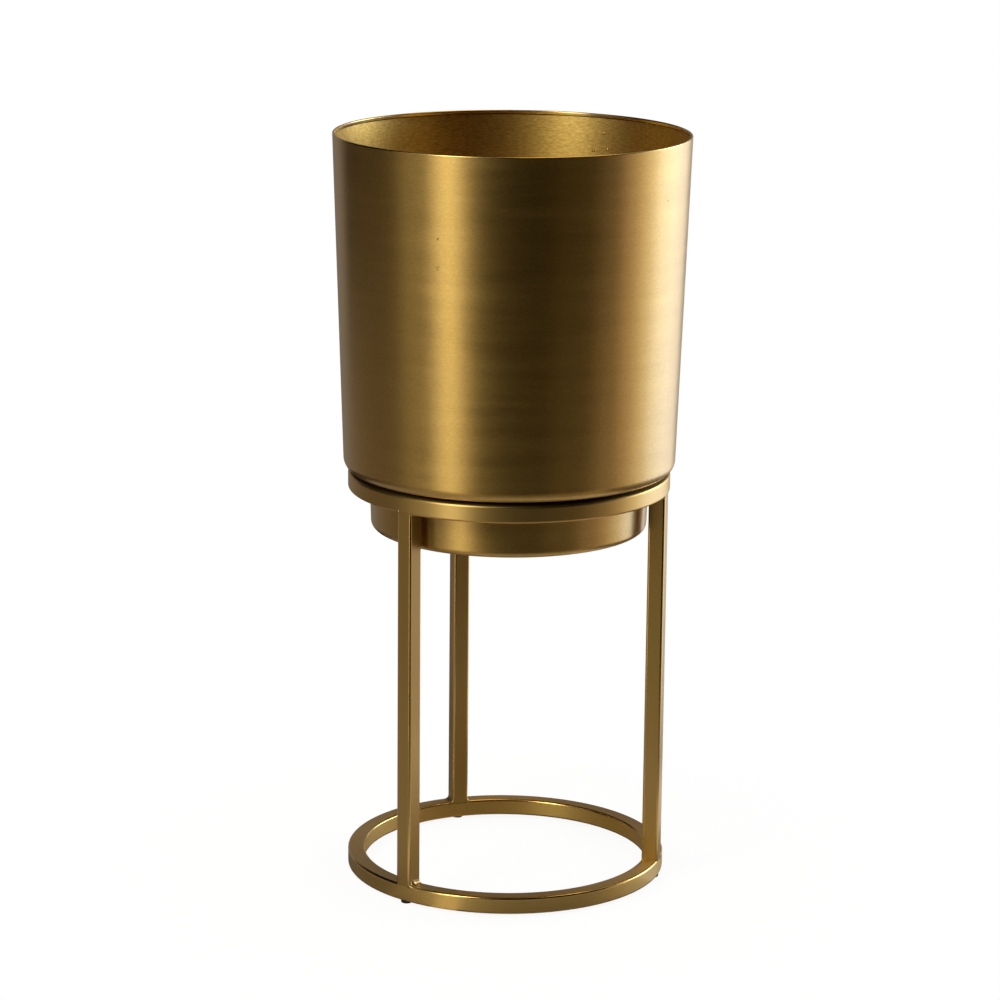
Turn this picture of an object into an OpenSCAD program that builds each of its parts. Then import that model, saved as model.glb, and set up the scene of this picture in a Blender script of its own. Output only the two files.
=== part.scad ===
// Plant stand: a welded square-tube frame of two rings and three legs,
// and the stepped metal planter that hangs by its ledge in the upper ring.
// Millimetres. The origin is on the floor, on the axis of the rings; -Y is the front.

/* [Square tube] */
// Width of the square tube that the rings and legs are made of
tube_w = 12; // [10:0.5:16]
// Wall of the tube
tube_wall = 1.2; // [0.8:0.1:2]
// Outer corner radius of the tube
tube_corner = 1.5; // [1:0.1:2.5]

/* [Stand] */
// Outer diameter of both rings
ring_d = 228; // [222:1:232]
// Height of the upper ring's top face above the floor
stand_h = 294; // [120:2:450]
// Turn of the front left leg about the axis, from the front
front_left_angle = -39; // [-60:0.5:-20]
// Turn of the right leg about the axis, from the front
right_angle = 76.5; // [60:0.5:100]
// Turn of the rear leg about the axis, from the front
rear_angle = 199.5; // [170:0.5:220]

/* [Welds] */
// Leg of the fillet welds on the base ring
base_weld = 3; // [1:0.5:4]
// Leg of the fillet welds under the upper ring
top_weld = 1.5; // [1:0.5:3]

/* [Planter] */
// Diameter over the rim
rim_d = 250; // [242:1:260]
// Diameter of the wall, carried down to the ledge
ledge_d = 234; // [230:1:240]
// Height of the rim above the floor
overall_h = 533; // [480:1:600]
// Thickness of the sheet
sheet_t = 0.8; // [0.6:0.1:1.2]
// Radius of the shoulder between wall and ledge
shoulder_r = 8.5; // [5:0.5:10]
// Height of the hem that is folded inside the rim
hem_h = 3; // [2:0.5:8]
// Room between the cup and the inside of the upper ring
cup_gap = 3; // [1:0.5:5]
// Depth of the cup below the ledge
cup_depth = 41; // [20:1:60]
// Radius between the cup's wall and floor
cup_corner = 4.5; // [2:0.5:12]
// Width of the cup's flange, lapped on the ledge
flange_w = 6; // [3:0.5:6]

/* [Feet] */
// Diameter of a foot
foot_d = 8; // [7:0.5:10]
// Height of a foot below the base ring
foot_h = 2; // [1.5:0.5:4]
// Diameter of the stem that holds a foot in the tube
stem_d = 4; // [3:0.5:5]
// How far the feet stand outside the middle of the tube
foot_out = 1.5; // [0:0.25:1.5]

/* [Hidden] */

round_steps = 12;       // flats in a bend of the sheet
circle_fn = 48;         // sides of a small circle
turn_fn = 180;          // sides of a full turn
frame_colour = "#8a6d38";
planter_colour = "#96753a";
foot_colour = "#161514";

LEG_ANGLES = [front_left_angle, right_angle, rear_angle];
// Every leg has a small weld on both sides under the upper ring.
TOP_WELDS = [for (angle = LEG_ANGLES, side = [-1, 1]) [angle, side]];
// On the base ring the front left and the right leg are welded on one side only.
BASE_WELDS = [[front_left_angle, 1], [right_angle, 1], [rear_angle, -1], [rear_angle, 1]];

ring_mid_r = (ring_d - tube_w) / 2;
base_top = foot_h + tube_w;
top_bottom = stand_h - tube_w;
inner_corner = max(tube_corner - tube_wall, 0.2);
cope = 0.8 * tube_corner;   // how far a leg's end reaches over a ring's rounded edge
weld_l = tube_w - 2 * tube_corner;
weld_hollow = 1.3;      // centre of a weld's hollow face, in weld legs from the corner

seat_gap = 0.3;         // room between the ledge and the upper ring
taper = (rim_d - ledge_d) / 2 / (overall_h - stand_h - seat_gap);
wall_tilt = atan(taper);
ledge_z = stand_h + seat_gap;
cup_z = ledge_z - cup_depth;
cup_r = ring_d / 2 - tube_w - cup_gap - taper * cup_depth;
flange_z = ledge_z + sheet_t;
flange_bend = 2 * sheet_t;
flange_turn = [cup_r + taper * (flange_z - flange_bend - cup_z) + flange_bend, flange_z - flange_bend];
hole_gap = 0.15;        // room between the cup's bend and the ledge's edge
ledge_hole_r = flange_turn[0] + hole_gap;

stem_gap = 0.05;        // room between a stem and its hole
barb_lip = 0.6;         // how far a stem's barb stands out
barb_h = 3;
foot_bevel = 0.6;
cut = 1;                // how far a hole's cutter runs past the wall

function polar(r, a) = [r * cos(a), r * sin(a)];

// Points of an arc about c, from angle a0 to a1
function arc(c, r, a0, a1, n = round_steps) =
    [for (i = [0 : n]) c + polar(r, a0 + (a1 - a0) * i / n)];

// Centre of a round corner of radius r between a level floor at z and a wall that
// would meet that floor at radius wall_r
function corner_centre(wall_r, z, r) = [wall_r + taper * r - r / cos(wall_tilt), z + r];

module round_square(w, r) {
    square([w, w - 2 * r], center = true);
    square([w - 2 * r, w], center = true);
    for (x = [-1, 1], y = [-1, 1])
        translate([x, y] * (w / 2 - r)) circle(r = r, $fn = circle_fn);
}

module tube_section() {
    difference() {
        round_square(tube_w, tube_corner);
        round_square(tube_w - 2 * tube_wall, inner_corner);
    }
}

// A section bent into a ring that stands on the level z
module bent_ring(z) {
    translate([0, 0, z + tube_w / 2])
        rotate_extrude($fn = turn_fn) translate([ring_mid_r, 0]) children();
}

module at_leg(angle) {
    rotate([0, 0, angle]) translate([0, -ring_mid_r, 0]) children();
}

module at_foot(angle) {
    at_leg(angle) translate([0, -foot_out, 0]) children();
}

module top_ring() {
    color(frame_colour) bent_ring(top_bottom) tube_section();
}

module base_ring() {
    color(frame_colour) difference() {
        bent_ring(foot_h) tube_section();
        for (angle = LEG_ANGLES) at_foot(angle)
            translate([0, 0, foot_h - cut])
                cylinder(h = tube_wall + 2 * cut, r = stem_d / 2 + stem_gap, $fn = circle_fn);
    }
}

// A leg: its ends are coped over the rounded edges of both rings, flush with their faces
module leg(angle) {
    color(frame_colour) difference() {
        at_leg(angle) translate([0, 0, base_top - cope])
            linear_extrude(top_bottom - base_top + 2 * cope) tube_section();
        for (z = [foot_h, top_bottom]) bent_ring(z) round_square(tube_w, tube_corner);
    }
}

module leg_front_left() { leg(front_left_angle); }

module leg_right() { leg(right_angle); }

module leg_rear() { leg(rear_angle); }

// A fillet weld: its two flat faces lie against a leg's side and a ring, its face is hollow
module fillet_weld(size) {
    hollow = weld_hollow * size;
    rotate([90, 0, 0]) linear_extrude(weld_l, center = true) difference() {
        square(size);
        translate([hollow, hollow])
            circle(r = norm([hollow, hollow - size]), $fn = 2 * circle_fn);
    }
}

module top_welds() {
    color(frame_colour) for (w = TOP_WELDS) at_leg(w[0])
        translate([w[1] * tube_w / 2, 0, top_bottom])
            mirror([w[1] < 0 ? 1 : 0, 0, 0]) mirror([0, 0, 1]) fillet_weld(top_weld);
}

module base_welds() {
    color(frame_colour) for (w = BASE_WELDS) at_leg(w[0])
        translate([w[1] * tube_w / 2, 0, base_top])
            mirror([w[1] < 0 ? 1 : 0, 0, 0]) fillet_weld(base_weld);
}

// A push-in foot: a bevelled pad below the tube, a stem through its wall and a barb inside
module foot(angle) {
    wall_top = foot_h + tube_wall;
    color(foot_colour) at_foot(angle) rotate_extrude($fn = circle_fn) polygon([
        [0, 0],
        [foot_d / 2 - foot_bevel, 0],
        [foot_d / 2, foot_bevel],
        [foot_d / 2, foot_h],
        [stem_d / 2, foot_h],
        [stem_d / 2, wall_top],
        [stem_d / 2 + barb_lip, wall_top],
        [stem_d / 4, wall_top + barb_h],
        [0, wall_top + barb_h]
    ]);
}

module foot_front_left() { foot(front_left_angle); }

module foot_right() { foot(right_angle); }

module foot_rear() { foot(rear_angle); }

// The planter's wall, folded over into a hem at the rim and turned in to a ledge below
module planter_shell() {
    shoulder = corner_centre(ledge_d / 2, ledge_z, shoulder_r);
    fold = [
        rim_d / 2 - sheet_t / cos(wall_tilt) - taper * sheet_t,
        overall_h - sheet_t
    ];
    hem_edge = fold - polar(hem_h - sheet_t, 90 - wall_tilt);
    color(planter_colour) rotate_extrude($fn = turn_fn) polygon(concat(
        [[ledge_hole_r, ledge_z]],
        arc(shoulder, shoulder_r, -90, -wall_tilt),
        arc(fold, sheet_t, -wall_tilt, 180 - wall_tilt),
        [hem_edge - polar(sheet_t, -wall_tilt), hem_edge],
        arc(shoulder, shoulder_r - sheet_t, -wall_tilt, -90),
        [[ledge_hole_r, flange_z]]
    ));
}

// The pressed cup below the ledge, with a flange that laps on the ledge inside
module planter_cup() {
    corner = corner_centre(cup_r, cup_z, cup_corner);
    flange_r = min(ledge_hole_r + flange_w, corner_centre(ledge_d / 2, ledge_z, shoulder_r)[0]);
    color(planter_colour) rotate_extrude($fn = turn_fn) polygon(concat(
        [[flange_r, flange_z]],
        arc(flange_turn, flange_bend, 90, 180 - wall_tilt),
        arc(corner, cup_corner, -wall_tilt, -90),
        [[0, cup_z], [0, cup_z + sheet_t]],
        arc(corner, cup_corner - sheet_t, -90, -wall_tilt),
        arc(flange_turn, flange_bend + sheet_t, 180 - wall_tilt, 90),
        [[flange_r, flange_z + sheet_t]]
    ));
}

top_ring();
base_ring();
leg_front_left();
leg_right();
leg_rear();
top_welds();
base_welds();
foot_front_left();
foot_right();
foot_rear();
planter_shell();
planter_cup();
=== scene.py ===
import math
from types import SimpleNamespace

import bpy
import numpy as np
from bpy.props import FloatProperty, FloatVectorProperty, IntProperty, PointerProperty
from mathutils import Matrix, Vector


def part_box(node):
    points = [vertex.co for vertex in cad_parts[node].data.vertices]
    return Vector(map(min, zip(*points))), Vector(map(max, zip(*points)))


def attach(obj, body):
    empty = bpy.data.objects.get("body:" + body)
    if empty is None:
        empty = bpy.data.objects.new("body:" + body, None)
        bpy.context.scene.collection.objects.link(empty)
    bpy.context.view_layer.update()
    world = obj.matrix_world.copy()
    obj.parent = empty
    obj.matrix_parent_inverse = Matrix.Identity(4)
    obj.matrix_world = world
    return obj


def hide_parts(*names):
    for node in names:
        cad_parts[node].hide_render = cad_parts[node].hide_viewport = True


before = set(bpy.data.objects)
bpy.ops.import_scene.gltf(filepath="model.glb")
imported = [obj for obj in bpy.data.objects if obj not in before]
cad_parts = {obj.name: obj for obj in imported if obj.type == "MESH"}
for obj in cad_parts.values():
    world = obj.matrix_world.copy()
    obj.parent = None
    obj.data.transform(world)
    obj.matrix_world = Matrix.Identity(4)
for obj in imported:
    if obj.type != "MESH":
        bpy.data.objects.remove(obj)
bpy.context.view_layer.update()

bl_info = {
    "name": "Plant stand",
    "version": (1, 0, 0),
    "blender": (4, 5, 0),
    "location": "View3D > Sidebar > Plant stand",
    "description": "Square-tube plant stand with a stepped brass planter, in a plain studio",
    "category": "Object",
}

MM = 0.001                  # one millimetre, in metres
FULL_TURN = 2 * math.pi
IMAGE_SIDE = 1000           # the image is square, in pixels
SENSOR = 36.0               # sensor width, mm
PANEL_R = 3.0               # distance of the studio's panels from the origin, m
PATCH_STEPS = 32            # points along each side of a panel or of a patch of the table
SUPPORT = 0.12 * MM         # distance of the points that keep a flat face flat beside a bend
KNEE_GAP = 3 * SUPPORT      # how far outside the cup's flange the ledge starts to rise
FOLD_STEPS = 12             # faces across the rim's fold
HEM_STEPS = 6               # faces across the rounded edge of the hem
SHADE_STEPS = 4              # faces at the foot of the shoulder that take the ledge's painted shade
CORNER_STEPS = 6            # faces across a tube's rounded corner
CORNER_STRIDE = CORNER_STEPS + 3    # faces from one corner of a tube to the next
LEG_STEPS = 8               # faces along a leg between its ground ends
GROUND_STEPS = 4            # faces along a ground end
BEAD_STEPS = 24             # faces along a weld bead
BEAD_FACE_STEPS = 12        # faces across a weld bead
EDGE_STEPS = 5              # faces in the quarter turn at each end of a weld bead
# A bead's swell and its pit: the middle and the spread of each, as shares of its length from its outer end
SWELL_AT, SWELL_SPREAD = 0.35, 0.15
PIT_AT, PIT_SPREAD = 0.12, 0.1
# Nicks in the planter's wall: angle about the axis from the front, depth below the rim, radius
NICKS = ((-23.5, 56.7 * MM, 1.3 * MM), (-23.5, 76.5 * MM, 1.9 * MM), (58.5, 36.9 * MM, 1.2 * MM))
# Drops of lacquer that ran down inside and set: angle about the axis from the front, depth below the rim
DROPS = ((151.6, 26.8 * MM), (147.8, 13.8 * MM), (146.1, 25.2 * MM))
# A Mix node's sockets for colours, by number, because its sockets for numbers bear the same names
MIX_SHARE, MIX_FIRST, MIX_SECOND, MIX_RESULT = 0, 6, 7, 2
NO_TRIANGLES = np.empty((0, 3), int)    # the three-cornered faces of a shape that has none


# ---------------------------------------------------------------- sizes read from the frame

def middle(node):
    """Middle of a CAD node's box, in metres."""
    low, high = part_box(node)
    return (low + high) / 2


def leg_angle(node):
    """Turn of a leg about the axis, from the front: the angle whose sine and cosine place its middle."""
    place = middle(node)
    return math.atan2(place.x, -place.y)


SHELL_LOW, SHELL_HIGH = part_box("planter_shell")
CUP_LOW, CUP_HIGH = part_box("planter_cup")
TOP_LOW, TOP_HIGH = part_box("top_ring")
BASE_LOW, BASE_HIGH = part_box("base_ring")
LEGS = ["leg_front_left", "leg_right", "leg_rear"]
FEET = ["foot_front_left", "foot_right", "foot_rear"]
TUBE = TOP_HIGH.z - TOP_LOW.z
HALF = TUBE / 2
RING_R = TOP_HIGH.x - HALF


# ---------------------------------------------------------------- what a user would change

def length_property(name, description, default, low, high):
    """A length that the sidebar shows with its unit. Its value and both limits are given in millimetres."""
    return FloatProperty(
        name=name, description=description, default=default * MM, min=low * MM, max=high * MM, precision=5,
        unit="LENGTH")


def linear(hex_colour):
    """sRGB hex to linear red, green and blue: a straight toe below 0.04045 and a power of 2.4 above it."""
    channels = [int(hex_colour[i:i + 2], 16) / 255 for i in (1, 3, 5)]
    return tuple(c / 12.92 if c <= 0.04045 else ((c + 0.055) / 1.055) ** 2.4 for c in channels)


def colour_property(name, description, default):
    """A colour that the sidebar shows as a swatch, given as an sRGB hex value."""
    return FloatVectorProperty(
        name=name, description=description, default=linear(default), size=3, min=0, max=1, subtype="COLOR")


class PlanterSizes(bpy.types.PropertyGroup):
    """Sizes of the planter that the frame's boxes don't give"""
    ledge_d: length_property(
        "Ledge diameter", "Diameter of the wall, carried down to the ledge", 234, 200, 300)
    sheet: length_property("Sheet", "Thickness of the brass sheet", 0.8, 0.4, 2)
    shoulder_r: length_property("Shoulder radius", "Radius between the wall and the ledge", 8.5, 2, 12)
    ledge_dish: length_property(
        "Ledge dish", "How far the shoulder stands above the flat of the ledge", 1, 0, 2)
    hem_h: length_property("Hem height", "Height of the hem folded inside the rim", 3, 2, 10)
    cup_gap: length_property("Cup gap", "Room between the cup and the inside of the upper ring", 3, 1, 6)
    cup_corner: length_property("Cup corner", "Radius between the cup's wall and floor", 4.5, 2, 12)
    hole_gap: length_property("Hole gap", "Room between the cup's bend and the ledge's edge", 0.15, 0, 1)
    drop_r: length_property("Drop radius", "Radius of a set drop of lacquer inside the planter", 1.1, 0.5, 3)
    drop_h: length_property("Drop height", "How far a drop stands off the sheet", 0.7, 0.2, 2)
    turn_steps: IntProperty(
        name="Steps in a turn", description="Faces round the planter", default=512, min=64, max=1024)


class StandSizes(bpy.types.PropertyGroup):
    """Sizes of the welded stand that the frame's boxes don't give"""
    tube_corner: length_property("Tube corner", "Outer corner radius of the square tube", 1.5, 0.5, 3)
    tube_wall: length_property("Tube wall", "Wall of the square tube", 1.2, 0.8, 2)
    ground_length: length_property(
        "Ground length", "How far from a joint the outer faces are ground flush", 8, 2, 20)
    base_weld: length_property("Base weld", "Leg of the welds on the base ring", 3.6, 1, 6)
    top_weld: length_property("Top weld", "Leg of the welds under the upper ring", 1.8, 1, 3)
    bead_swell: FloatProperty(
        name="Bead swell", description="How far a bead's hollow face swells; 0.5 makes it flat",
        default=0.15, min=0, max=1)
    bead_taper: FloatProperty(
        name="Bead taper", description="Share of its size that a bead loses towards its inner end",
        default=0.25, min=0, max=0.8)
    bead_pit: FloatProperty(
        name="Bead pit", description="Share of its size that a bead loses in the pit behind its outer end",
        default=0.4, min=0, max=0.8)
    bead_ripple: FloatProperty(
        name="Bead ripple", description="Share of the swell that rises and falls with the ripples",
        default=0.08, min=0, max=0.3)
    ripple_pitch: length_property("Ripple pitch", "Distance between the ripples of a bead", 1.2, 0.5, 3)
    turn_steps: IntProperty(
        name="Steps in a turn", description="Faces round a ring", default=512, min=64, max=1024)
    stem_d: length_property("Stem diameter", "Diameter of the stem that holds a foot in the tube", 4, 2, 6)
    barb_lip: length_property("Barb lip", "How far a stem's barb stands out", 0.6, 0.2, 1)
    foot_edge: length_property("Foot edge", "Radius of the lower edge of a foot", 0.6, 0.2, 1)
    foot_steps: IntProperty(
        name="Foot steps", description="Faces round a foot", default=64, min=16, max=256)


class Finishes(bpy.types.PropertyGroup):
    """Colours of the metal and of the feet"""
    brass: colour_property("Brass", "Brushed brass of the planter's wall", "#E2BD6E")
    brass_deep: colour_property("Deep brass", "Tone between the brush lines", "#CFA95A")
    # Drawn lighter than the outside's brass of the same sheet: painted light on the inner wall
    satin: colour_property("Satin brass", "Satin brass inside the planter", "#F2D17E")
    satin_deep: colour_property("Deep satin brass", "Tone between the streaks inside", "#CCA754")
    # The legs and welds have the rings' plating, drawn darker: painted shade that takes down the bright table
    # showing in them
    tube_brass_painted_shade: colour_property("Tube brass", "Satin brass plating of the legs", "#C09D57")
    ring_brass: colour_property("Ring brass", "Brushed brass plating of the rings", "#DFBC74")
    nick: colour_property("Nick", "Small dark nicks in the planter's wall", "#6B5326")
    # Painted shade: near-black brass for the ledge's under face, the foot of the shoulder and the hem's edge
    painted_shade: colour_property("Underside", "Dull dark brass under the ledge", "#33240F")
    rubber: colour_property("Rubber", "Moulded rubber of the feet", "#161514")


class Studio(bpy.types.PropertyGroup):
    """Camera, floor and light"""
    focal: FloatProperty(
        name="Focal length", description="In pixels of the square image",
        default=3499.3, min=1000, max=9000)
    eye: FloatVectorProperty(
        name="Eye", description="Place of the camera", default=(0, -2.41405, 0.85305),
        size=3, subtype="TRANSLATION", unit="LENGTH")
    pitch: FloatProperty(
        name="Pitch", description="How far the camera looks down",
        default=0.2365, subtype="ANGLE", unit="ROTATION")
    yaw: FloatProperty(
        name="Yaw", description="How far the camera looks right",
        default=-0.0026, subtype="ANGLE", unit="ROTATION")
    roll: FloatProperty(
        name="Roll", description="How far the camera leans",
        default=0.0100, subtype="ANGLE", unit="ROTATION")
    floor_r: FloatProperty(
        name="Floor radius", description="Radius of the pale round floor",
        default=0.4, min=0.3, max=2, unit="LENGTH")
    frost: FloatProperty(
        name="Frost", description="Share of the clear floor that its frosted face covers",
        default=0.14, min=0.05, max=1, subtype="FACTOR")


# ---------------------------------------------------------------- curves and surfaces

def arc(centre, radius, start, end, steps):
    """Round stretch of an outline: centre plus radius times the cosine and sine of evenly spaced angles."""
    angle = np.radians(np.linspace(start, end, steps + 1))
    return np.asarray(centre) + radius * np.column_stack([np.cos(angle), np.sin(angle)])


def straight(start, end, steps=1):
    """Points between two ends, which are left out: start plus even shares of the way to end, and a
    point close to each end, which keeps the shading of the flat stretch flat."""
    way = np.asarray(end, float) - np.asarray(start)
    near = SUPPORT / np.linalg.norm(way)
    share = np.concatenate([[near], np.arange(1, steps) / steps, [1 - near]])[:, None]
    return np.asarray(start) + share * way


def outline(*stretches):
    """Stretches of points joined into one outline."""
    return np.vstack([np.atleast_2d(s) for s in stretches])


def directions(angle):
    """Unit vectors outwards and sideways (anticlockwise from above) at an angle about the axis."""
    return np.array([math.sin(angle), -math.cos(angle), 0]), np.array([math.cos(angle), math.sin(angle), 0])


def placed(angle, side, radial, level):
    """Points at an angle: radial times the outward vector, plus side times the sideways one, at a level."""
    outward, sideways = directions(angle)
    side, radial, level = np.broadcast_arrays(side, radial, level)
    return side[..., None] * sideways + radial[..., None] * outward + level[..., None] * np.array([0, 0, 1])


def mesh_object(name, *shapes):
    """A new object whose mesh holds these shapes: each has points, four-cornered and three-cornered faces."""
    sizes = [len(points) for points, quads, triangles in shapes]
    first = np.cumsum([0] + sizes[:-1])
    points = np.vstack([shape[0] for shape in shapes])
    quads = np.vstack([shape[1] + start for shape, start in zip(shapes, first)])
    triangles = np.vstack([shape[2] + start for shape, start in zip(shapes, first)])
    corners = np.concatenate([quads.ravel(), triangles.ravel()])
    counts = np.concatenate([np.full(len(quads), 4), np.full(len(triangles), 3)])
    mesh = bpy.data.meshes.new(name)
    mesh.vertices.add(len(points))
    mesh.vertices.foreach_set("co", points.astype(np.float32).ravel())
    mesh.loops.add(len(corners))
    mesh.loops.foreach_set("vertex_index", corners.astype(np.int32))
    mesh.polygons.add(len(counts))
    mesh.polygons.foreach_set("loop_start", (np.cumsum(counts) - counts).astype(np.int32))
    mesh.polygons.foreach_set("use_smooth", np.ones(len(counts), bool))
    mesh.update(calc_edges=True)
    mesh.validate()
    made = bpy.data.objects.new(name, mesh)
    bpy.context.scene.collection.objects.link(made)
    return made


def grid_quads(rows, columns, close_rows=False, close_columns=True):
    """Faces between neighbouring points of a grid whose points are numbered row by row."""
    index = np.arange(rows * columns).reshape(rows, columns)
    if close_rows:
        index = np.vstack([index, index[:1]])
    if close_columns:
        index = np.hstack([index, index[:, :1]])
    return np.stack(
        [index[:-1, :-1], index[:-1, 1:], index[1:, 1:], index[1:, :-1]], axis=-1).reshape(-1, 4)


def fan(pole, rim):
    """Three-cornered faces between a pole and neighbouring points of a rim, given by their numbers."""
    return np.column_stack([np.full(len(rim) - 1, pole), rim[:-1], rim[1:]])


def lofted(grid, poles):
    """A closed shape: a grid of points whose columns close on themselves, ended by fans about two poles."""
    rows, columns = grid.shape[:2]
    rim = np.append(np.arange(columns), 0)
    pole = rows * columns
    fans = np.vstack([fan(pole, rim[::-1]), fan(pole + 1, rim + (rows - 1) * columns)])
    return np.vstack([grid.reshape(-1, 3), poles]), grid_quads(rows, columns), fans


def spun(profile, steps, closed=False, centre=(0, 0)):
    """A surface of revolution about a centre: a point (r, z) goes round to (r cos a, r sin a, z).

    The profile runs anticlockwise as seen with r to the right and z up, so that faces point outwards.
    A closed profile joins its end to its start; an open one starts and ends on the axis, at two poles.
    """
    angle = np.linspace(0, FULL_TURN, steps, endpoint=False)
    ring = profile if closed else profile[1:-1]
    grid = np.stack([
        centre[0] + np.outer(ring[:, 0], np.cos(angle)),
        centre[1] + np.outer(ring[:, 0], np.sin(angle)),
        np.repeat(ring[:, 1:], steps, axis=1)], axis=-1)
    if closed:
        return grid.reshape(-1, 3), grid_quads(len(ring), steps, close_rows=True), NO_TRIANGLES
    return lofted(grid, [[*centre, profile[0, 1]], [*centre, profile[-1, 1]]])


def on_corner(index):
    """Whether faces, given by their number round a tube's outline, lie on its rounded corners."""
    return index % CORNER_STRIDE < CORNER_STEPS


def round_square(width, corner):
    """Outline of a square tube, anticlockwise: quarter arcs about its corners' centres, and flats between."""
    reach = width / 2 - corner
    corners = [
        arc(reach * np.array([sx, sy]), corner, start, start + 90, CORNER_STEPS)
        for sx, sy, start in ((1, -1, -90), (1, 1, 0), (-1, 1, 90), (-1, -1, 180))]
    following = corners[1:] + corners[:1]
    return outline(*[
        stretch for this, after in zip(corners, following)
        for stretch in (this, straight(this[-1], after[0]))])


# ---------------------------------------------------------------- materials

def add(tree, kind, inputs=None, **settings):
    """Adds a node, changes its settings, links each input given a socket and sets each given a value."""
    node = tree.nodes.new(kind)
    for key, value in settings.items():
        setattr(node, key, value)
    for key, given in (inputs or {}).items():
        if isinstance(given, bpy.types.NodeSocket):
            tree.links.new(given, node.inputs[key])
        else:
            node.inputs[key].default_value = given
    return node


def new_material(name):
    """An empty node material with its output; returns the material, its tree and the output."""
    material = bpy.data.materials.new(name)
    material.use_nodes = True
    material.node_tree.nodes.clear()
    tree = material.node_tree
    return material, tree, add(tree, "ShaderNodeOutputMaterial")


def rgba(colour):
    return (*colour, 1)


def streaks(tree, along, across, detail=2.0):
    """Noise drawn out round the axis: blobs are `along` metres long and `across` metres high."""
    place = add(tree, "ShaderNodeTexCoord").outputs["Object"]
    scaled = add(tree, "ShaderNodeMapping", {"Vector": place, "Scale": (1 / along, 1 / along, 1 / across)})
    return add(
        tree, "ShaderNodeTexNoise",
        {"Vector": scaled.outputs["Vector"], "Scale": 1.0, "Detail": detail, "Roughness": 0.6}).outputs["Fac"]


def grain(tree, size, detail=2.0):
    """Even noise whose blobs are `size` metres wide."""
    place = add(tree, "ShaderNodeTexCoord").outputs["Object"]
    return add(
        tree, "ShaderNodeTexNoise", {"Vector": place, "Scale": 1 / size, "Detail": detail}).outputs["Fac"]


def lacquered(tree, output, colour, rough, bump, anisotropy=0.0, coat=1.0):
    """The shader that the brass finishes share: bare metal under clear lacquer.

    With an anisotropy the metal has brush lines round the axis: the tangent runs round it too, and a quarter
    turn of it draws the highlights out across the lines.
    """
    inputs = {
        "Base Color": colour, "Metallic": 1.0, "Roughness": rough, "Normal": bump.outputs["Normal"],
        "Coat Weight": coat, "Coat Roughness": 0.3}
    if anisotropy:
        tangent = add(tree, "ShaderNodeTangent", direction_type="RADIAL", axis="Z").outputs["Tangent"]
        inputs.update({"Anisotropic": anisotropy, "Anisotropic Rotation": 0.25, "Tangent": tangent})
    shader = add(tree, "ShaderNodeBsdfPrincipled", inputs)
    tree.links.new(shader.outputs["BSDF"], output.inputs["Surface"])


def nicked(tree, colour, nick):
    """A colour with the wall's nicks in it. A nick shows by a share that grows from 0 at its radius to 1 at a
    third of it, times a share that a fine noise turns from 0 to 1, which makes its edge ragged."""
    place = add(tree, "ShaderNodeTexCoord").outputs["Object"]
    near = 0.0
    for angle, depth, radius in NICKS:
        level = SHELL_HIGH.z - depth
        centre = placed(math.radians(angle), 0.0, wall_radius(level), level)
        away = add(
            tree, "ShaderNodeVectorMath", {0: place, 1: tuple(centre)}, operation="DISTANCE").outputs["Value"]
        here = add(
            tree, "ShaderNodeMapRange",
            {"Value": away, "From Min": radius, "From Max": radius / 3}).outputs["Result"]
        near = add(tree, "ShaderNodeMath", {0: near, 1: here}, operation="MAXIMUM").outputs[0]
    ragged = add(
        tree, "ShaderNodeMapRange",
        {"Value": grain(tree, 1.0 * MM, 1.0), "From Min": 0.45, "From Max": 0.55}).outputs["Result"]
    share = add(tree, "ShaderNodeMath", {0: near, 1: ragged}, operation="MULTIPLY").outputs[0]
    return add(
        tree, "ShaderNodeMix", {MIX_SHARE: share, MIX_FIRST: colour, MIX_SECOND: rgba(nick)},
        data_type="RGBA").outputs[MIX_RESULT]


def brass_sheet_brushed_round(name):
    """Brass sheet brushed round the axis and lacquered: highlights are drawn out up and down, their edges
    wander a little with the hand-spun sheet's waves, and fine level lines catch the light."""
    finishes = bpy.context.scene.stand_finishes
    material, tree, output = new_material(name)
    # Real brush lines are about 0.1 mm wide and wouldn't show, so these are drawn 0.7 mm wide
    lines = streaks(tree, 2.4 * MM, 0.7 * MM, 3.0)
    bands = streaks(tree, 90 * MM, 9 * MM)
    both = add(tree, "ShaderNodeMath", {0: lines, 1: 2.0, 2: bands}, operation="MULTIPLY_ADD").outputs[0]
    tone = add(
        tree, "ShaderNodeMapRange", {"Value": both, "From Min": 1.1, "From Max": 1.9}).outputs["Result"]
    colour = add(
        tree, "ShaderNodeMix",
        {MIX_SHARE: tone, MIX_FIRST: rgba(finishes.brass_deep), MIX_SECOND: rgba(finishes.brass)},
        data_type="RGBA").outputs[MIX_RESULT]
    rough = add(
        tree, "ShaderNodeMapRange",
        {"Value": bands, "From Min": 0.3, "From Max": 0.7, "To Min": 0.34, "To Max": 0.38}).outputs["Result"]
    waves = add(
        tree, "ShaderNodeBump", {"Height": grain(tree, 45 * MM, 1.0), "Strength": 1.0, "Distance": 0.25 * MM})
    bump = add(
        tree, "ShaderNodeBump",
        {"Height": lines, "Strength": 0.5, "Distance": 0.02 * MM, "Normal": waves.outputs["Normal"]})
    lacquered(tree, output, nicked(tree, colour, finishes.nick), rough, bump, 0.65)
    return material


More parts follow.
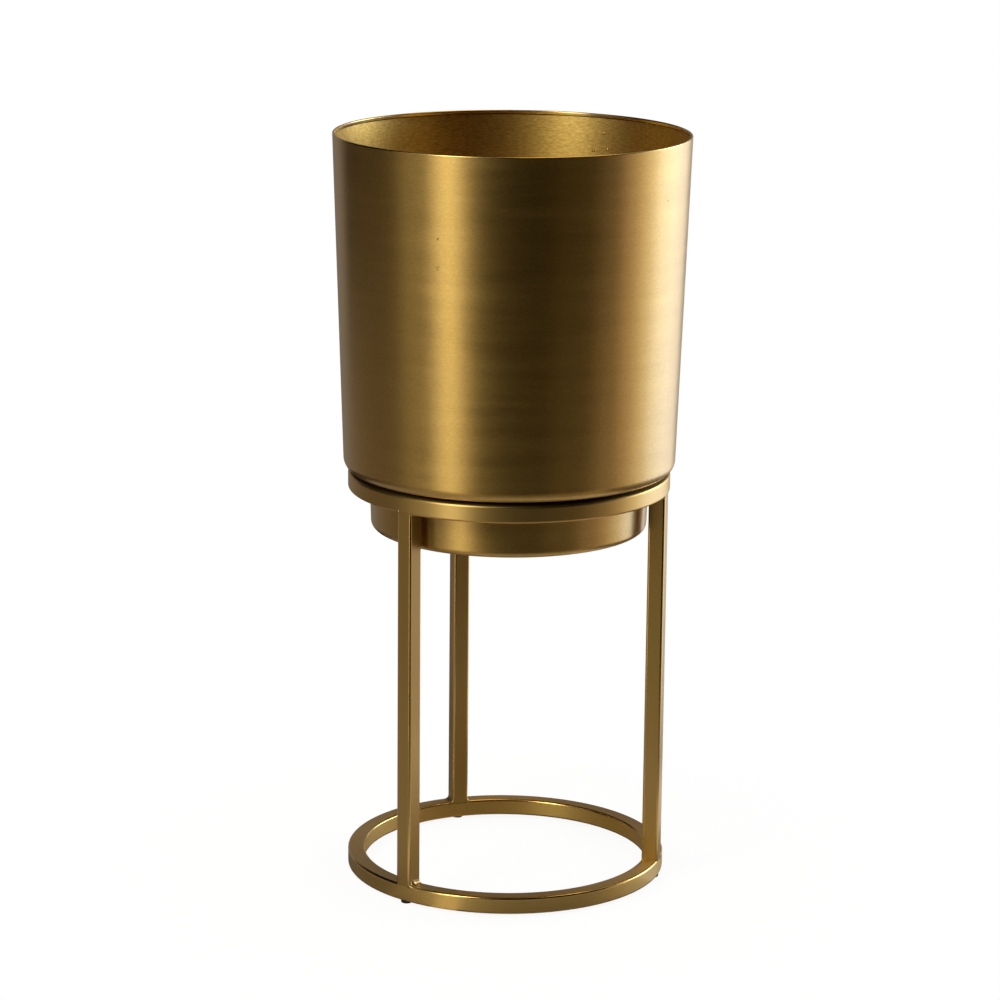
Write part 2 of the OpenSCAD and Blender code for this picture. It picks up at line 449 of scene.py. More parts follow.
def brass_sheet_satin_inside(name):
    """Inside of the sheet, rubbed down more coarsely and lacquered: short soft streaks on a satin sheen."""
    finishes = bpy.context.scene.stand_finishes
    material, tree, output = new_material(name)
    # Real rub marks are finer and wouldn't show, so these are drawn 0.7 mm wide
    lines = streaks(tree, 3.5 * MM, 0.7 * MM, 3.0)
    tone = add(
        tree, "ShaderNodeMapRange", {"Value": lines, "From Min": 0.35, "From Max": 0.65}).outputs["Result"]
    # The satin colour is lighter than the outside's brass: painted light that brightens the inner wall
    colour = add(
        tree, "ShaderNodeMix",
        {MIX_SHARE: tone, MIX_FIRST: rgba(finishes.satin_deep), MIX_SECOND: rgba(finishes.satin)},
        data_type="RGBA").outputs[MIX_RESULT]
    bump = add(tree, "ShaderNodeBump", {"Height": lines, "Strength": 0.5, "Distance": 0.03 * MM})
    lacquered(tree, output, colour, 0.48, bump, 0.6)
    return material


def brass_sheet_rolled_rim(name):
    """The rim's rolled fold and hem, worn smooth: a thin bright line where they turn to the light."""
    finishes = bpy.context.scene.stand_finishes
    material, tree, output = new_material(name)
    unevenness = grain(tree, 2 * MM)
    bump = add(tree, "ShaderNodeBump", {"Height": unevenness, "Strength": 0.2, "Distance": 0.02 * MM})
    lacquered(tree, output, rgba(finishes.brass), 0.22, bump)
    return material


def brass_sheet_painted_shade(name):
    """The ledge's under face, the foot of the shoulder and the hem's edge, bare and drawn near black as
    painted
    shade: a black line over the ring and a thin dark one under the hem."""
    finishes = bpy.context.scene.stand_finishes
    material, tree, output = new_material(name)
    shade_bumps = grain(tree, 1 * MM)
    bump = add(tree, "ShaderNodeBump", {"Height": shade_bumps, "Strength": 0.3, "Distance": 0.03 * MM})
    shader = add(
        tree, "ShaderNodeBsdfPrincipled",
        {"Metallic": 1.0, "Roughness": 0.5, "Base Color": rgba(finishes.painted_shade),
         "Normal": bump.outputs["Normal"]})
    tree.links.new(shader.outputs["BSDF"], output.inputs["Surface"])
    return material


def steel_tube_brushed_along(name):
    """Steel tube of the rings, brushed along the bend and brass plated: highlights run out across it."""
    finishes = bpy.context.scene.stand_finishes
    material, tree, output = new_material(name)
    # Real brush lines are about 0.1 mm wide and wouldn't show, so these are drawn 0.9 mm wide
    lines = streaks(tree, 40 * MM, 0.9 * MM)
    bump = add(tree, "ShaderNodeBump", {"Height": lines, "Strength": 0.2, "Distance": 0.02 * MM})
    lacquered(tree, output, rgba(finishes.ring_brass), 0.4, bump, 0.6, coat=0.4)
    return material


def steel_tube_rolled_corner(name):
    """Corners of the square tube, left smooth by rolling, and plated: crisp bright lines along its edges."""
    finishes = bpy.context.scene.stand_finishes
    material, tree, output = new_material(name)
    unevenness = grain(tree, 2 * MM)
    bump = add(tree, "ShaderNodeBump", {"Height": unevenness, "Strength": 0.2, "Distance": 0.02 * MM})
    lacquered(tree, output, rgba(finishes.ring_brass), 0.2, bump, coat=0.3)
    return material


def steel_tube_satin_plated(name):
    """Steel tube of the legs, satin brass plated: a soft even sheen with a fine speckle."""
    finishes = bpy.context.scene.stand_finishes
    material, tree, output = new_material(name)
    # The speckle of real plating is finer and wouldn't show, so it is drawn 1 mm wide
    speckle = grain(tree, 1 * MM, 3.0)
    bump = add(tree, "ShaderNodeBump", {"Height": speckle, "Strength": 0.2, "Distance": 0.02 * MM})
    # Drawn darker than the same plating on the rings: painted shade
    lacquered(tree, output, rgba(finishes.tube_brass_painted_shade), 0.42, bump)
    return material


def rubber_moulded_black(name):
    """Moulded black rubber: dull, with a slight sheen on its rounded edge."""
    finishes = bpy.context.scene.stand_finishes
    material, tree, output = new_material(name)
    pores = grain(tree, 0.5 * MM)
    bump = add(tree, "ShaderNodeBump", {"Height": pores, "Strength": 0.3, "Distance": 0.03 * MM})
    shader = add(
        tree, "ShaderNodeBsdfPrincipled",
        {"Roughness": 0.7, "Base Color": rgba(finishes.rubber), "Normal": bump.outputs["Normal"]})
    tree.links.new(shader.outputs["BSDF"], output.inputs["Surface"])
    return material


# ---------------------------------------------------------------- pieces

def dress(piece, body, slot, makers, *nodes):
    """Gives a piece the materials that these functions make, each made once, rides the piece on a body and
    lets it stand for CAD nodes."""
    for make in makers:
        name = make.__name__
        piece.data.materials.append(bpy.data.materials.get(name) or make(name))
    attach(piece, body)
    if nodes:
        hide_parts(*nodes)


def finish_faces(piece, kinds):
    """Gives each face the one of the piece's materials whose number stands in an array."""
    piece.data.polygons.foreach_set("material_index", kinds.astype(np.int32))


def wall_taper():
    """How far the planter's wall leans out for each metre of height."""
    ledge_r = bpy.context.scene.planter_sizes.ledge_d / 2
    return (SHELL_HIGH.x - ledge_r) / (SHELL_HIGH.z - SHELL_LOW.z)


def wall_radius(level):
    """Radius of the wall's outside at a level."""
    return bpy.context.scene.planter_sizes.ledge_d / 2 + wall_taper() * (level - SHELL_LOW.z)


def planter_lines():
    """What the planter's outlines share: the wall's taper, its tilt in degrees, its slant length for each
    metre of height, the unit vectors up along the wall and out of it, the flange's level, the radius of the
    bend between flange and cup, that bend's centre, and the cup's radius at its floor."""
    sizes = bpy.context.scene.planter_sizes
    taper = wall_taper()
    slant = math.hypot(1, taper)
    up = np.array([taper, 1]) / slant
    flange_z = SHELL_LOW.z + sizes.sheet
    bend = 2 * sizes.sheet
    cup_r = TOP_HIGH.x - TUBE - sizes.cup_gap - taper * (SHELL_LOW.z - CUP_LOW.z)
    turn = np.array([cup_r + taper * (flange_z - bend - CUP_LOW.z) + bend, flange_z - bend])
    return SimpleNamespace(
        taper=taper, tilt=math.degrees(math.atan(taper)), slant=slant, up=up, out=np.array([up[1], -up[0]]),
        flange_z=flange_z, bend=bend, turn=turn, cup_r=cup_r)


def corner_centre(wall_r, z, radius):
    """Centre of a round corner between a level floor at z and a wall that leans out as the planter's does and
    would meet the floor at wall_r."""
    taper = wall_taper()
    return np.array([wall_r + taper * radius - radius * math.hypot(1, taper), z + radius])


class PLANT_OT_shell(bpy.types.Operator):
    """Spin the planter's wall, with its hem at the rim and its shoulder and ledge below"""
    bl_idname = "plant_stand.shell"
    bl_label = "Planter shell"

    def execute(self, context):
        sizes, wall = context.scene.planter_sizes, planter_lines()
        sheet, ledge_z = sizes.sheet, SHELL_LOW.z
        hole_r = wall.turn[0] + sizes.hole_gap
        shoulder = corner_centre(sizes.ledge_d / 2, ledge_z + sizes.ledge_dish, sizes.shoulder_r)
        # Outside the cup's flange the ledge rises in a cone that touches the shoulder: its slope is the angle
        # of the line to the shoulder's centre, less the angle whose sine is the radius over the line's length
        knee = np.array([CUP_HIGH.x + KNEE_GAP, ledge_z])
        way = shoulder - knee
        slope = math.atan2(way[1], way[0]) - math.asin(sizes.shoulder_r / math.hypot(*way))
        down = np.array([math.sin(slope), -math.cos(slope)])
        inner_knee = knee + sheet * np.array([-math.tan(slope / 2), 1])
        start = math.degrees(slope) - 90
        fold = np.array([-SHELL_LOW.x - sheet * (wall.slant + wall.taper), SHELL_HIGH.z - sheet])
        hem_end = fold - (sizes.hem_h - sheet) * wall.up
        edge_r = sheet / 2
        hem_edge = hem_end + edge_r * wall.up - (sheet - edge_r) * wall.out
        ledge = outline(
            [hole_r, ledge_z],
            straight([hole_r, ledge_z], knee, 4),
            straight(knee, shoulder + sizes.shoulder_r * down, 2))
        outside = outline(
            ledge,
            arc(shoulder, sizes.shoulder_r, start, -wall.tilt, 16),
            straight(shoulder + sizes.shoulder_r * wall.out, fold + sheet * wall.out, 24),
            arc(fold, sheet, -wall.tilt, 180 - wall.tilt, FOLD_STEPS))
        inside = outline(
            straight(fold - sheet * wall.out, hem_edge - edge_r * wall.out),
            arc(hem_edge, edge_r, 180 - wall.tilt, 270 - wall.tilt, HEM_STEPS),
            straight(hem_edge - edge_r * wall.up, hem_end),
            hem_end,
            straight(hem_end, shoulder + (sizes.shoulder_r - sheet) * wall.out, 24),
            arc(shoulder, sizes.shoulder_r - sheet, -wall.tilt, start, 12),
            straight(shoulder + (sizes.shoulder_r - sheet) * down, inner_knee, 2),
            straight(inner_knee, [hole_r, wall.flange_z], 4),
            [hole_r, wall.flange_z])
        shell = mesh_object("planter_wall", spun(outline(outside, inside), sizes.turn_steps, closed=True))
        brushed, satin, rolled, dull = range(4)
        # A row of faces has the number of the outline's point that it starts from. The hem's edge has a
        # narrow face at each end of its round.
        row = np.arange(len(shell.data.polygons)) // sizes.turn_steps
        hem_face = len(outside)
        # The ledge, the foot of the shoulder and the hem's edge take the painted shade: a black line where
        # the shoulder meets the ring and a thin dark line under the hem.
        kinds = np.select([
            row < len(ledge) + SHADE_STEPS,
            row < hem_face - FOLD_STEPS - 1,
            row <= hem_face,
            row <= hem_face + HEM_STEPS + 2], [dull, brushed, rolled, dull], satin)
        finish_faces(shell, kinds)
        dress(shell, "pot", "planter_brass",
              [brass_sheet_brushed_round, brass_sheet_satin_inside, brass_sheet_rolled_rim,
               brass_sheet_painted_shade],
              "planter_shell")
        return {"FINISHED"}


class PLANT_OT_cup(bpy.types.Operator):
    """Spin the cup that hangs through the upper ring"""
    bl_idname = "plant_stand.cup"
    bl_label = "Planter cup"

    def execute(self, context):
        sizes, wall = context.scene.planter_sizes, planter_lines()
        sheet, turn = sizes.sheet, wall.turn
        low, edge = CUP_LOW.z, CUP_HIGH.x
        flange_z, top_z = wall.flange_z, wall.flange_z + sheet
        corner = corner_centre(wall.cup_r, low, sizes.cup_corner)
        outer_bend, inner_corner = wall.bend + sheet, sizes.cup_corner - sheet
        profile = outline(
            [0, low],
            straight([0, low], [corner[0], low], 12),
            arc(corner, sizes.cup_corner, -90, -wall.tilt, 12),
            straight(corner + sizes.cup_corner * wall.out, turn - wall.bend * wall.out, 6),
            arc(turn, wall.bend, 180 - wall.tilt, 90, 8),
            straight([turn[0], flange_z], [edge, flange_z]),
            [edge, flange_z],
            straight([edge, flange_z], [edge, top_z]),
            [edge, top_z],
            straight([edge, top_z], [turn[0], top_z]),
            arc(turn, outer_bend, 90, 180 - wall.tilt, 8),
            straight(turn - outer_bend * wall.out, corner + inner_corner * wall.out, 6),
            arc(corner, inner_corner, -wall.tilt, -90, 12),
            straight([corner[0], low + sheet], [0, low + sheet], 12),
            [0, low + sheet])
        cup = mesh_object("planter_foot_cup", spun(profile, sizes.turn_steps))
        dress(cup, "pot", "planter_brass", [brass_sheet_brushed_round], "planter_cup")
        return {"FINISHED"}


class PLANT_OT_drops(bpy.types.Operator):
    """Set three drops of lacquer on the inside of the planter"""
    bl_idname = "plant_stand.drops"
    bl_label = "Lacquer drops"

    def execute(self, context):
        sizes, wall = context.scene.planter_sizes, planter_lines()
        # A drop is a ball flattened against the wall: at the angles u from its crown and v about it, a point
        # lies radius sin(u) cos(v) sideways, radius sin(u) sin(v) up the wall and height cos(u) off it
        u = np.linspace(0, math.pi, 15)[1:-1, None]
        v = np.linspace(0, FULL_TURN, 24, endpoint=False)
        across, rise, off = np.broadcast_arrays(
            sizes.drop_r * np.sin(u) * np.cos(v), sizes.drop_r * np.sin(u) * np.sin(v),
            sizes.drop_h * np.cos(u))
        crowns = sizes.drop_h * np.array([1, -1])
        shapes = []
        for angle, depth in DROPS:
            angle = math.radians(angle)
            level = SHELL_HIGH.z - depth
            radius = wall_radius(level) - sizes.sheet * wall.slant
            grid = placed(
                angle, across, radius - off * wall.out[0] + rise * wall.up[0],
                level - off * wall.out[1] + rise * wall.up[1])
            poles = placed(angle, 0.0, radius - crowns * wall.out[0], level - crowns * wall.out[1])
            shapes.append(lofted(grid, poles))
        dress(mesh_object("planter_lacquer_drops", *shapes), "pot", "planter_brass", [brass_sheet_rolled_rim])
        return {"FINISHED"}


class PLANT_OT_rings(bpy.types.Operator):
    """Bend the two rings from square tube"""
    bl_idname = "plant_stand.rings"
    bl_label = "Rings"

    def execute(self, context):
        sizes = context.scene.stand_sizes
        section = round_square(TUBE, sizes.tube_corner)
        for node, low in (("top_ring", TOP_LOW.z), ("base_ring", BASE_LOW.z)):
            ring = mesh_object(
                node + "_tube", spun(section + [RING_R, low + HALF], sizes.turn_steps, closed=True))
            face = np.arange(len(ring.data.polygons)) // sizes.turn_steps
            finish_faces(ring, on_corner(face) & (node == "base_ring"))
            dress(ring, "stand", "frame_brass", [steel_tube_brushed_along, steel_tube_rolled_corner], node)
        return {"FINISHED"}


def tube_leg(angle, corner):
    """A square tube whose ends are coped to the rings.

    An end follows the ring's rounded edge: where a point lies beyond the flat of the ring by d, the end drops
    by c - sqrt(c^2 - d^2), c being the corner's radius. Near its ends the outer face is ground back to the
    rings' cylinder, by a share that falls from 1 to 0 over the ground length.
    """
    ground = bpy.context.scene.stand_sizes.ground_length
    section = round_square(TUBE, corner)
    side, radial = section[:, 0], RING_R - section[:, 1]
    beyond = np.clip(np.abs(np.hypot(side, radial) - RING_R) - (HALF - corner), 0, corner)
    drop = corner - np.sqrt(corner ** 2 - beyond ** 2)
    low, high = BASE_HIGH.z - drop, TOP_LOW.z + drop
    ground_end = np.concatenate([[0, SUPPORT], np.linspace(0, ground, GROUND_STEPS + 1)[1:]])
    near = ground_end / (TOP_LOW.z - BASE_HIGH.z)
    between = np.linspace(near[-1], 1 - near[-1], LEG_STEPS + 1)[1:-1]
    share = np.concatenate([near, between, 1 - near[::-1]])[:, None]
    level = low + share * (high - low)
    end = np.clip(1 - np.minimum(level - low, high - level) / ground, 0, 1)
    proud = np.clip(radial - np.sqrt(TOP_HIGH.x ** 2 - side ** 2), 0, None)
    grid = placed(angle, side, radial - end * proud, level)
    return lofted(grid, placed(angle, 0.0, RING_R, np.array([BASE_HIGH.z, TOP_LOW.z])))


def bell(along, middle, spread):
    """Bell curve of height 1: e to the power of minus the squared distance from its middle in spreads."""
    return np.exp(-((along - middle) / spread) ** 2)


def bead(angle, side, size, level, up, corner):
    """A weld in the corner between a leg and a ring, ground flush with both at its two ends.

    Across it, a quadratic curve runs from the leg's side to the ring. Its middle control point lies in the
    corner, which makes a hollow fillet, and moves out along the diagonal where the bead swells: by a bell
    curve along the bead, times one plus a fine sine for its ripples. The whole curve shrinks by a second bell
    curve, which makes the pit behind the outer end, and by the taper times the square of the way along the
    bead. Towards both ends the surface sinks along its own normal by the quarter circle of the tube's rounded
    edge, so it runs into the edges of leg and ring.
    """
    sizes = bpy.context.scene.stand_sizes
    turn = np.radians(np.linspace(0, 90, EDGE_STEPS + 1))
    along = np.linspace(0, 1, BEAD_STEPS + 1)[1:-1]
    length = TUBE - 2 * corner
    edge = corner * (1 - np.cos(turn))
    depth = np.concatenate([[0], edge, corner + along * length, TUBE - edge[::-1], [TUBE]])[:, None]
    # Each end has one more point, on the tubes' ground face and sunk below their sides
    end_sink = np.concatenate([[corner + SUPPORT], corner * (1 - np.sin(turn))])
    sink = np.concatenate([end_sink, 0 * along, end_sink[::-1]])[:, None]
    no_end = 0 * end_sink
    ripples = sizes.bead_ripple * np.sin(FULL_TURN * along * length / sizes.ripple_pitch)
    swell = sizes.bead_swell * bell(along, SWELL_AT, SWELL_SPREAD) * (1 + ripples)
    swell = np.concatenate([no_end, swell, no_end])[:, None]
    loss = sizes.bead_pit * bell(along, PIT_AT, PIT_SPREAD) + sizes.bead_taper * along ** 2
    size = size * (1 - np.concatenate([no_end, loss, no_end + sizes.bead_taper]))[:, None]
    t = np.linspace(0, 1, BEAD_FACE_STEPS + 1)
    # The curve's points and direction, measured from the corner between the leg's side and the ring
    x = 2 * t * (1 - t) * swell * size + t ** 2 * size
    z = 2 * t * (1 - t) * swell * size + (1 - t) ** 2 * size
    dx = 2 * (1 - t) * swell * size + 2 * t * (1 - swell) * size
    dz = 2 * (1 - t) * (swell - 1) * size - 2 * t * swell * size
    norm = np.hypot(dx, dz)
    x, z = x + sink * dz / norm, z - sink * dx / norm
    back = np.full((len(depth), 1), -corner)
    x, z = np.hstack([back, x]), np.hstack([back, z])
    depth = np.hstack([np.linspace(0, TUBE, len(depth))[:, None], np.repeat(depth, len(t), axis=1)])
    sideways = side * (HALF + x)
    radial = np.sqrt((RING_R + HALF - depth) ** 2 - sideways ** 2)
    grid = placed(angle, sideways, radial, level + up * z)
    if side * up < 0:
        grid = grid[::-1]
    rows, columns = grid.shape[:2]
    rim = np.arange(1, columns)
    last = (rows - 1) * columns
    fans = np.vstack([fan(0, rim[::-1]), fan(last, rim + last)])
    return grid.reshape(-1, 3), grid_quads(rows, columns), fans


class PLANT_OT_legs(bpy.types.Operator):
    """Cut the three legs to the rings and weld them on"""
    bl_idname = "plant_stand.legs"
    bl_label = "Legs and welds"

    def execute(self, context):
        sizes = context.scene.stand_sizes
        corner = sizes.tube_corner
        angles = {node: leg_angle(node) for node in LEGS}
        for node, angle in angles.items():
            leg = mesh_object(node + "_tube", tube_leg(angle, corner))
            columns = 4 * CORNER_STRIDE
            face = np.arange(len(leg.data.polygons))
            # The last faces are the two fans that close the ends
            finish_faces(leg, on_corner(face % columns) & (face < len(face) - 2 * columns))
            dress(leg, "stand", "frame_brass", [steel_tube_satin_plated, steel_tube_rolled_corner], node)
        under_top = [
            bead(angle, side, sizes.top_weld, TOP_LOW.z, -1, corner)
            for angle in angles.values() for side in (-1, 1)]
        on_base = [
            bead(angles[node], side, sizes.base_weld, BASE_HIGH.z, 1, corner)
            for node, side in (("leg_front_left", 1), ("leg_right", 1), ("leg_rear", -1), ("leg_rear", 1))]
        for node, beads in (("top_welds", under_top), ("base_welds", on_base)):
            welds = mesh_object(node + "_beads", *beads)
            dress(welds, "stand", "frame_brass", [steel_tube_satin_plated], node)
        return {"FINISHED"}


class PLANT_OT_feet(bpy.types.Operator):
    """Push a rubber foot into the base ring under each leg"""
    bl_idname = "plant_stand.feet"
    bl_label = "Feet"

    def execute(self, context):
        sizes = context.scene.stand_sizes
        for node in FEET:
            low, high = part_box(node)
            pad_r = (high.x - low.x) / 2
            stem_r = sizes.stem_d / 2
            edge = sizes.foot_edge
            pad_z = BASE_LOW.z
            wall_z = pad_z + sizes.tube_wall
            lip_r = stem_r + sizes.barb_lip
            profile = outline(
                [0, 0],
                straight([0, 0], [pad_r - edge, 0], 4),
                arc([pad_r - edge, edge], edge, -90, 0, 6),
                straight([pad_r, edge], [pad_r, pad_z]),
                [pad_r, pad_z],
                straight([pad_r, pad_z], [stem_r, pad_z], 2),
                [stem_r, pad_z],
                [stem_r, wall_z],
                [lip_r, wall_z],
                [stem_r / 2, high.z],
                [0, high.z])
            centre = tuple(middle(node).xy)
            foot = mesh_object(node + "_pad", spun(profile, sizes.foot_steps, centre=centre))
            dress(foot, "stand", "foot_rubber", [rubber_moulded_black], node)
        return {"FINISHED"}


# ---------------------------------------------------------------- studio

def screen(name, grid, radiance, lamp=False):
    """A glowing sheet on a grid of points, which shows in the metal and never to the camera. A lamp's sheet
    also lights what is dull."""
    quads = grid_quads(*grid.shape[:2], close_columns=False)
    sheet = mesh_object(name, (grid.reshape(-1, 3), quads, NO_TRIANGLES))
    material, tree, output = new_material(name + "_cloth")
    glow = add(tree, "ShaderNodeEmission", {"Color": rgba(radiance), "Strength": 1.0})
    tree.links.new(glow.outputs["Emission"], output.inputs["Surface"])
    sheet.data.materials.append(material)
    sheet.visible_camera = False
    sheet.visible_shadow = lamp
    sheet.visible_diffuse = lamp


def panel(name, start, end, low, high, radiance, lamp=False, reach=1.0):
    """A studio panel: a patch of a sphere round the origin, between two angles from the front and two angles
    above the floor: R (cos e sin a, -cos e cos a, sin e)."""
    a = np.radians(np.linspace(start, end, PATCH_STEPS))[None, :]
    e = np.radians(np.linspace(low, high, PATCH_STEPS))[:, None]
    grid = np.stack([np.cos(e) * np.sin(a), -np.cos(e) * np.cos(a), np.sin(e) + 0 * a], axis=-1)
    screen(name, reach * PANEL_R * grid, radiance, lamp)


def table(name, start, end, near, far, radiance):
    """A glowing patch of the table, just under the clear floor: a ring's sector between two angles from the
    front and
    two distances from the axis: (r sin a, -r cos a, -1 mm). Its glow is painted light and shade of the table
    as the metal shows it; it lights nothing."""
    a = np.radians(np.linspace(start, end, PATCH_STEPS))[None, :]
    r = np.linspace(far, near, PATCH_STEPS)[:, None]
    screen(name, np.stack([r * np.sin(a), -r * np.cos(a), 0 * r * a - MM], axis=-1), radiance)


def seen_directly(tree):
    """1 on a ray from the camera, or one that metal or glass has turned; 0 on the rays that light things."""
    path = add(tree, "ShaderNodeLightPath").outputs
    seen = path["Is Camera Ray"]
    for ray in ("Is Glossy Ray", "Is Transmission Ray"):
        seen = add(tree, "ShaderNodeMath", {0: seen, 1: path[ray]}, operation="MAXIMUM").outputs[0]
    return seen


class PLANT_OT_studio(bpy.types.Operator):
    """Set up the floor, the screens, the lights, the white background and the camera"""
    bl_idname = "plant_stand.studio"
    bl_label = "Studio"

    def execute(self, context):
        studio = context.scene.stand_studio
        self.background(context)
        self.floor(studio)
        self.lights()
        self.camera(context, studio)
        context.scene.view_settings.view_transform = "Standard"
        return {"FINISHED"}

    def background(self, context):
        """White where it is seen, dimmer where it only lights."""
        world = bpy.data.worlds.new("white_backdrop")
        context.scene.world = world
        world.use_nodes = True
        tree = world.node_tree
        tree.nodes.clear()
        strength = add(
            tree, "ShaderNodeMapRange", {"Value": seen_directly(tree), "To Min": 0.6, "To Max": 1.0})
        back = add(
            tree, "ShaderNodeBackground", {"Color": (1, 1, 1, 1), "Strength": strength.outputs["Result"]})
        tree.links.new(back.outputs["Background"], add(tree, "ShaderNodeOutputWorld").inputs["Surface"])

    def floor(self, studio):
        """A clear sheet over the white backdrop: a disc whose frosted face takes the object's shadow and
        thins out to nothing towards the edge, by a smooth step of the distance from the middle."""
        steps = 96
        angle = np.linspace(0, FULL_TURN, steps, endpoint=False)
        disc = studio.floor_r * np.column_stack([np.cos(angle), np.sin(angle), np.zeros(steps)])
        rim = np.append(np.arange(steps), 0)
        no_quads = np.empty((0, 4), int)
        floor = mesh_object("floor", (np.vstack([disc, [0, 0, 0]]), no_quads, fan(steps, rim)))
        material, tree, output = new_material("acrylic_sheet_frosted_white")
        matt = add(tree, "ShaderNodeBsdfDiffuse", {"Color": (0.8, 0.8, 0.8, 1)})
        # To the camera the frost glows a little as well, so that only the shadow tells it from the white
        to_camera = add(tree, "ShaderNodeLightPath").outputs["Is Camera Ray"]
        lift = add(tree, "ShaderNodeMapRange", {"Value": to_camera, "To Min": 0.0, "To Max": 0.35})
        glow = add(tree, "ShaderNodeEmission", {"Color": (1, 1, 1, 1), "Strength": lift.outputs["Result"]})
        face = add(tree, "ShaderNodeAddShader", {0: matt.outputs[0], 1: glow.outputs[0]})
        place = add(tree, "ShaderNodeTexCoord").outputs["Object"]
        reach = add(tree, "ShaderNodeVectorMath", {0: place}, operation="LENGTH").outputs["Value"]
        cover = add(
            tree, "ShaderNodeMapRange",
            {"Value": reach, "From Min": 0.4 * studio.floor_r, "From Max": studio.floor_r,
             "To Min": studio.frost, "To Max": 0.0},
            interpolation_type="SMOOTHSTEP")
        clear = add(tree, "ShaderNodeBsdfTransparent")
        sheet = add(
            tree, "ShaderNodeMixShader",
            {0: cover.outputs["Result"], 1: clear.outputs[0], 2: face.outputs[0]})
        tree.links.new(sheet.outputs[0], output.inputs["Surface"])
        floor.data.materials.append(material)

    def lights(self):
        """A narrow tall soft box front left, a wide one to the right, dim walls and a table between them, and
        dark cloth round the rest."""
        panel("key_box", -45, -34, 10, 30, (2.75, 2.9, 2.3), lamp=True)
        panel("key_box_left", -50, -45, 10, 30, (3.6, 3.6, 3.2), lamp=True)
        panel("key_box_low", -45, -34, -15, 10, (1.5, 1.4, 1.1), lamp=True)
        panel("key_glow_left", -52, -45, -15, 10, (0.6, 0.5, 0.4))
        panel("key_glow_right", -34, -28, -18, 10, (0.3, 0.25, 0.2))
        panel("key_box_high", -52, -30, 30, 60, (6.3, 5.8, 4.4), lamp=True)
        panel("window", 105, 135, 10, 30, (5.2, 5.6, 5.4), lamp=True)
        panel("window_low", 105, 135, -15, 10, (1.3, 1.45, 1.95), lamp=True)
        panel("window_high", 105, 135, 30, 60, (0.6, 0.55, 0.45), lamp=True)
        panel("window_edge", 90, 105, -15, 30, (1.05, 0.95, 0.75), lamp=True)
        panel("wall_right", 75, 90, -15, 10, (0.7, 0.53, 0.38))
        panel("wall_right_low", 60, 75, -42, -5, (0.42, 0.33, 0.24))
        panel("wall_left", -75, -60, -15, 60, (0.31, 0.27, 0.19))
        panel("wall_left_low", -75, -45, -42, -15, (0.15, 0.1, 0.06))
        panel("wall_far_left", -135, -75, -15, -5, (0.32, 0.25, 0.17))
        panel("wall_back_left", -180, -135, -15, 30, (0.23, 0.2, 0.17))
        panel("window_far", 135, 152, -15, 30, (1.1, 1.1, 1.1))
        panel("wall_back_right", 152, 180, -15, 30, (0.26, 0.21, 0.165))
        panel("low_key", -45, -25, -42, -18, (0.65, 0.47, 0.26))
        panel("low_front", -25, 30, -42, -17, (0.11, 0.085, 0.045))
        panel("low_front_right", 30, 60, -42, -13, (0.22, 0.175, 0.1))
        panel("low_back", 135, 180, -42, -15, (0.1, 0.05, 0.02))
        panel("low_right", 60, 180, -80, -42, (0.4, 0.3, 0.1))
        panel("ceiling_back", 90, 180, 60, 90, (2.2, 1.7, 0.9))
        # The table's glow is painted: a painted shadow of the stand in and round its base, with a painted
        # pool of the key's light in it, and painted light on the table further out
        table("table_inside", -180, 180, 0.0, 0.1, (0.18, 0.135, 0.06))
        table("table_shadow", -18, 75, 0.1, 0.16, (0.12, 0.095, 0.06))
        table("table_shadow_key", -28, -18, 0.1, 0.16, (0.5, 0.4, 0.25))
        table("table_shadow_left", -50, -28, 0.1, 0.16, (0.12, 0.09, 0.06))
        table("table_front", -50, 60, 0.17, 0.26, (0.55, 0.5, 0.45))
        table("table_front_far", -50, 60, 0.26, 0.5, (0.17, 0.145, 0.1))
        table("table_right", 60, 135, 0.17, 0.3, (0.6, 0.55, 0.5))
        table("table_left", -135, -50, 0.17, 0.5, (0.25, 0.22, 0.2))
        panel("dark_cloth", -180, 180, -90, 90, (0, 0, 0), reach=1.02)

    def camera(self, context, studio):
        """The camera looks along (cos pitch sin yaw, cos pitch cos yaw, -sin pitch), leaned by the roll."""
        data = bpy.data.cameras.new("camera")
        data.sensor_width = SENSOR
        data.lens = studio.focal * SENSOR / IMAGE_SIDE
        camera = bpy.data.objects.new("camera", data)
        context.scene.collection.objects.link(camera)
        yaw, pitch, roll = studio.yaw, studio.pitch, studio.roll
        forward = Vector((math.cos(pitch) * math.sin(yaw), math.cos(pitch) * math.cos(yaw), -math.sin(pitch)))
        level = Vector((math.cos(yaw), -math.sin(yaw), 0))
        up = level.cross(forward)
        right = math.cos(roll) * level + math.sin(roll) * up
        up = math.cos(roll) * up - math.sin(roll) * level
        turned = Matrix((right, up, -forward)).transposed().to_4x4()
        camera.matrix_world = Matrix.Translation(studio.eye) @ turned
        context.scene.camera = camera


class PLANT_PT_panel(bpy.types.Panel):
    """Sizes, colours and operators in the 3D view's sidebar"""
    bl_idname = "PLANT_PT_panel"
    bl_label = "Plant stand"
    bl_space_type = "VIEW_3D"
    bl_region_type = "UI"
    bl_category = "Plant stand"

    def draw(self, context):
        scene = context.scene
        for group in (scene.planter_sizes, scene.stand_sizes, scene.stand_finishes, scene.stand_studio):
            box = self.layout.box()
            for name in group.bl_rna.properties.keys():
                if name not in ("rna_type", "name"):
                    box.prop(group, name)
        for operator in OPERATORS:
            self.layout.operator(operator.bl_idname)


GROUPS = {
    "planter_sizes": PlanterSizes,
    "stand_sizes": StandSizes,
    "stand_finishes": Finishes,
    "stand_studio": Studio,
}
OPERATORS = [
    PLANT_OT_shell, PLANT_OT_cup, PLANT_OT_drops, PLANT_OT_rings, PLANT_OT_legs, PLANT_OT_feet,
    PLANT_OT_studio]


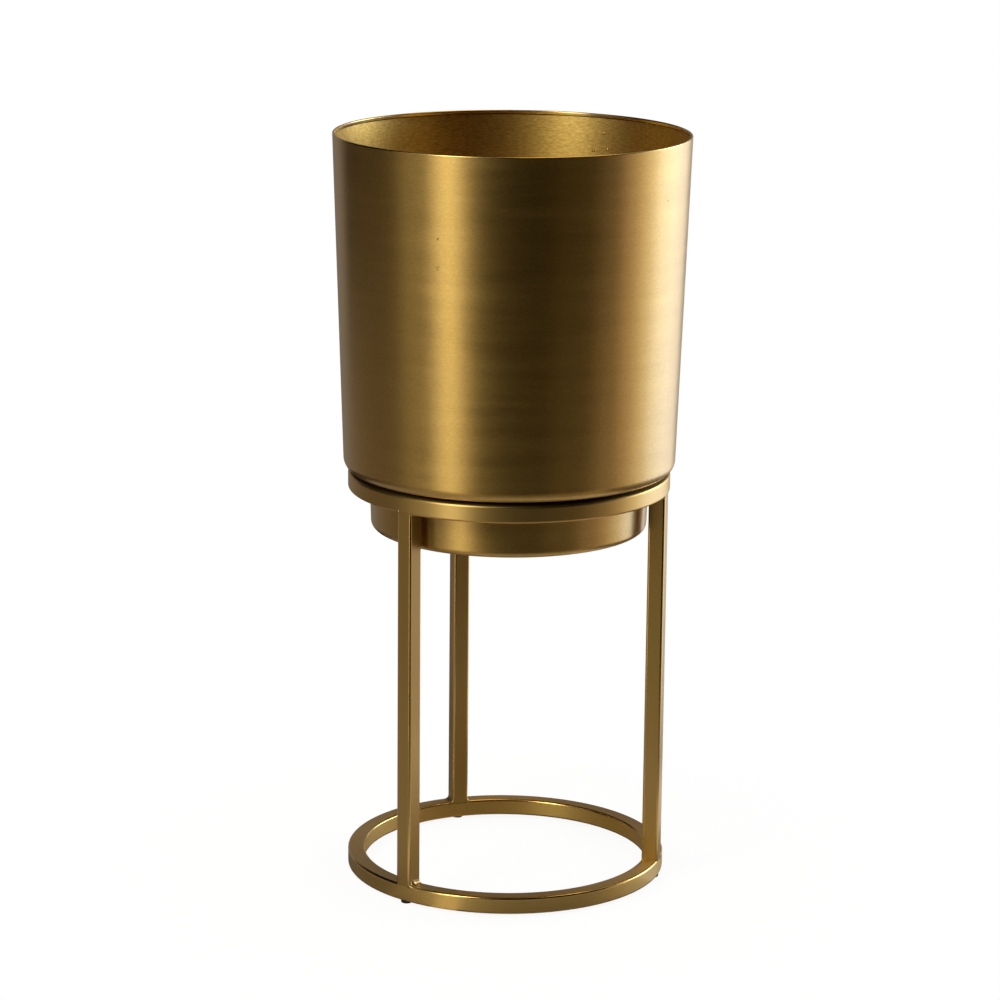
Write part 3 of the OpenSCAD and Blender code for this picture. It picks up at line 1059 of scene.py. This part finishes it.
def register():
    for group in GROUPS.values():
        bpy.utils.register_class(group)
    for operator in OPERATORS:
        bpy.utils.register_class(operator)
    bpy.utils.register_class(PLANT_PT_panel)
    for name, group in GROUPS.items():
        setattr(bpy.types.Scene, name, PointerProperty(type=group))


def unregister():
    for name in GROUPS:
        delattr(bpy.types.Scene, name)
    bpy.utils.unregister_class(PLANT_PT_panel)
    for operator in reversed(OPERATORS):
        bpy.utils.unregister_class(operator)
    for group in reversed(list(GROUPS.values())):
        bpy.utils.unregister_class(group)


def main():
    register()
    bpy.ops.plant_stand.shell()
    bpy.ops.plant_stand.cup()
    bpy.ops.plant_stand.drops()
    bpy.ops.plant_stand.rings()
    bpy.ops.plant_stand.legs()
    bpy.ops.plant_stand.feet()
    bpy.ops.plant_stand.studio()


if __name__ == "__main__":
    main()
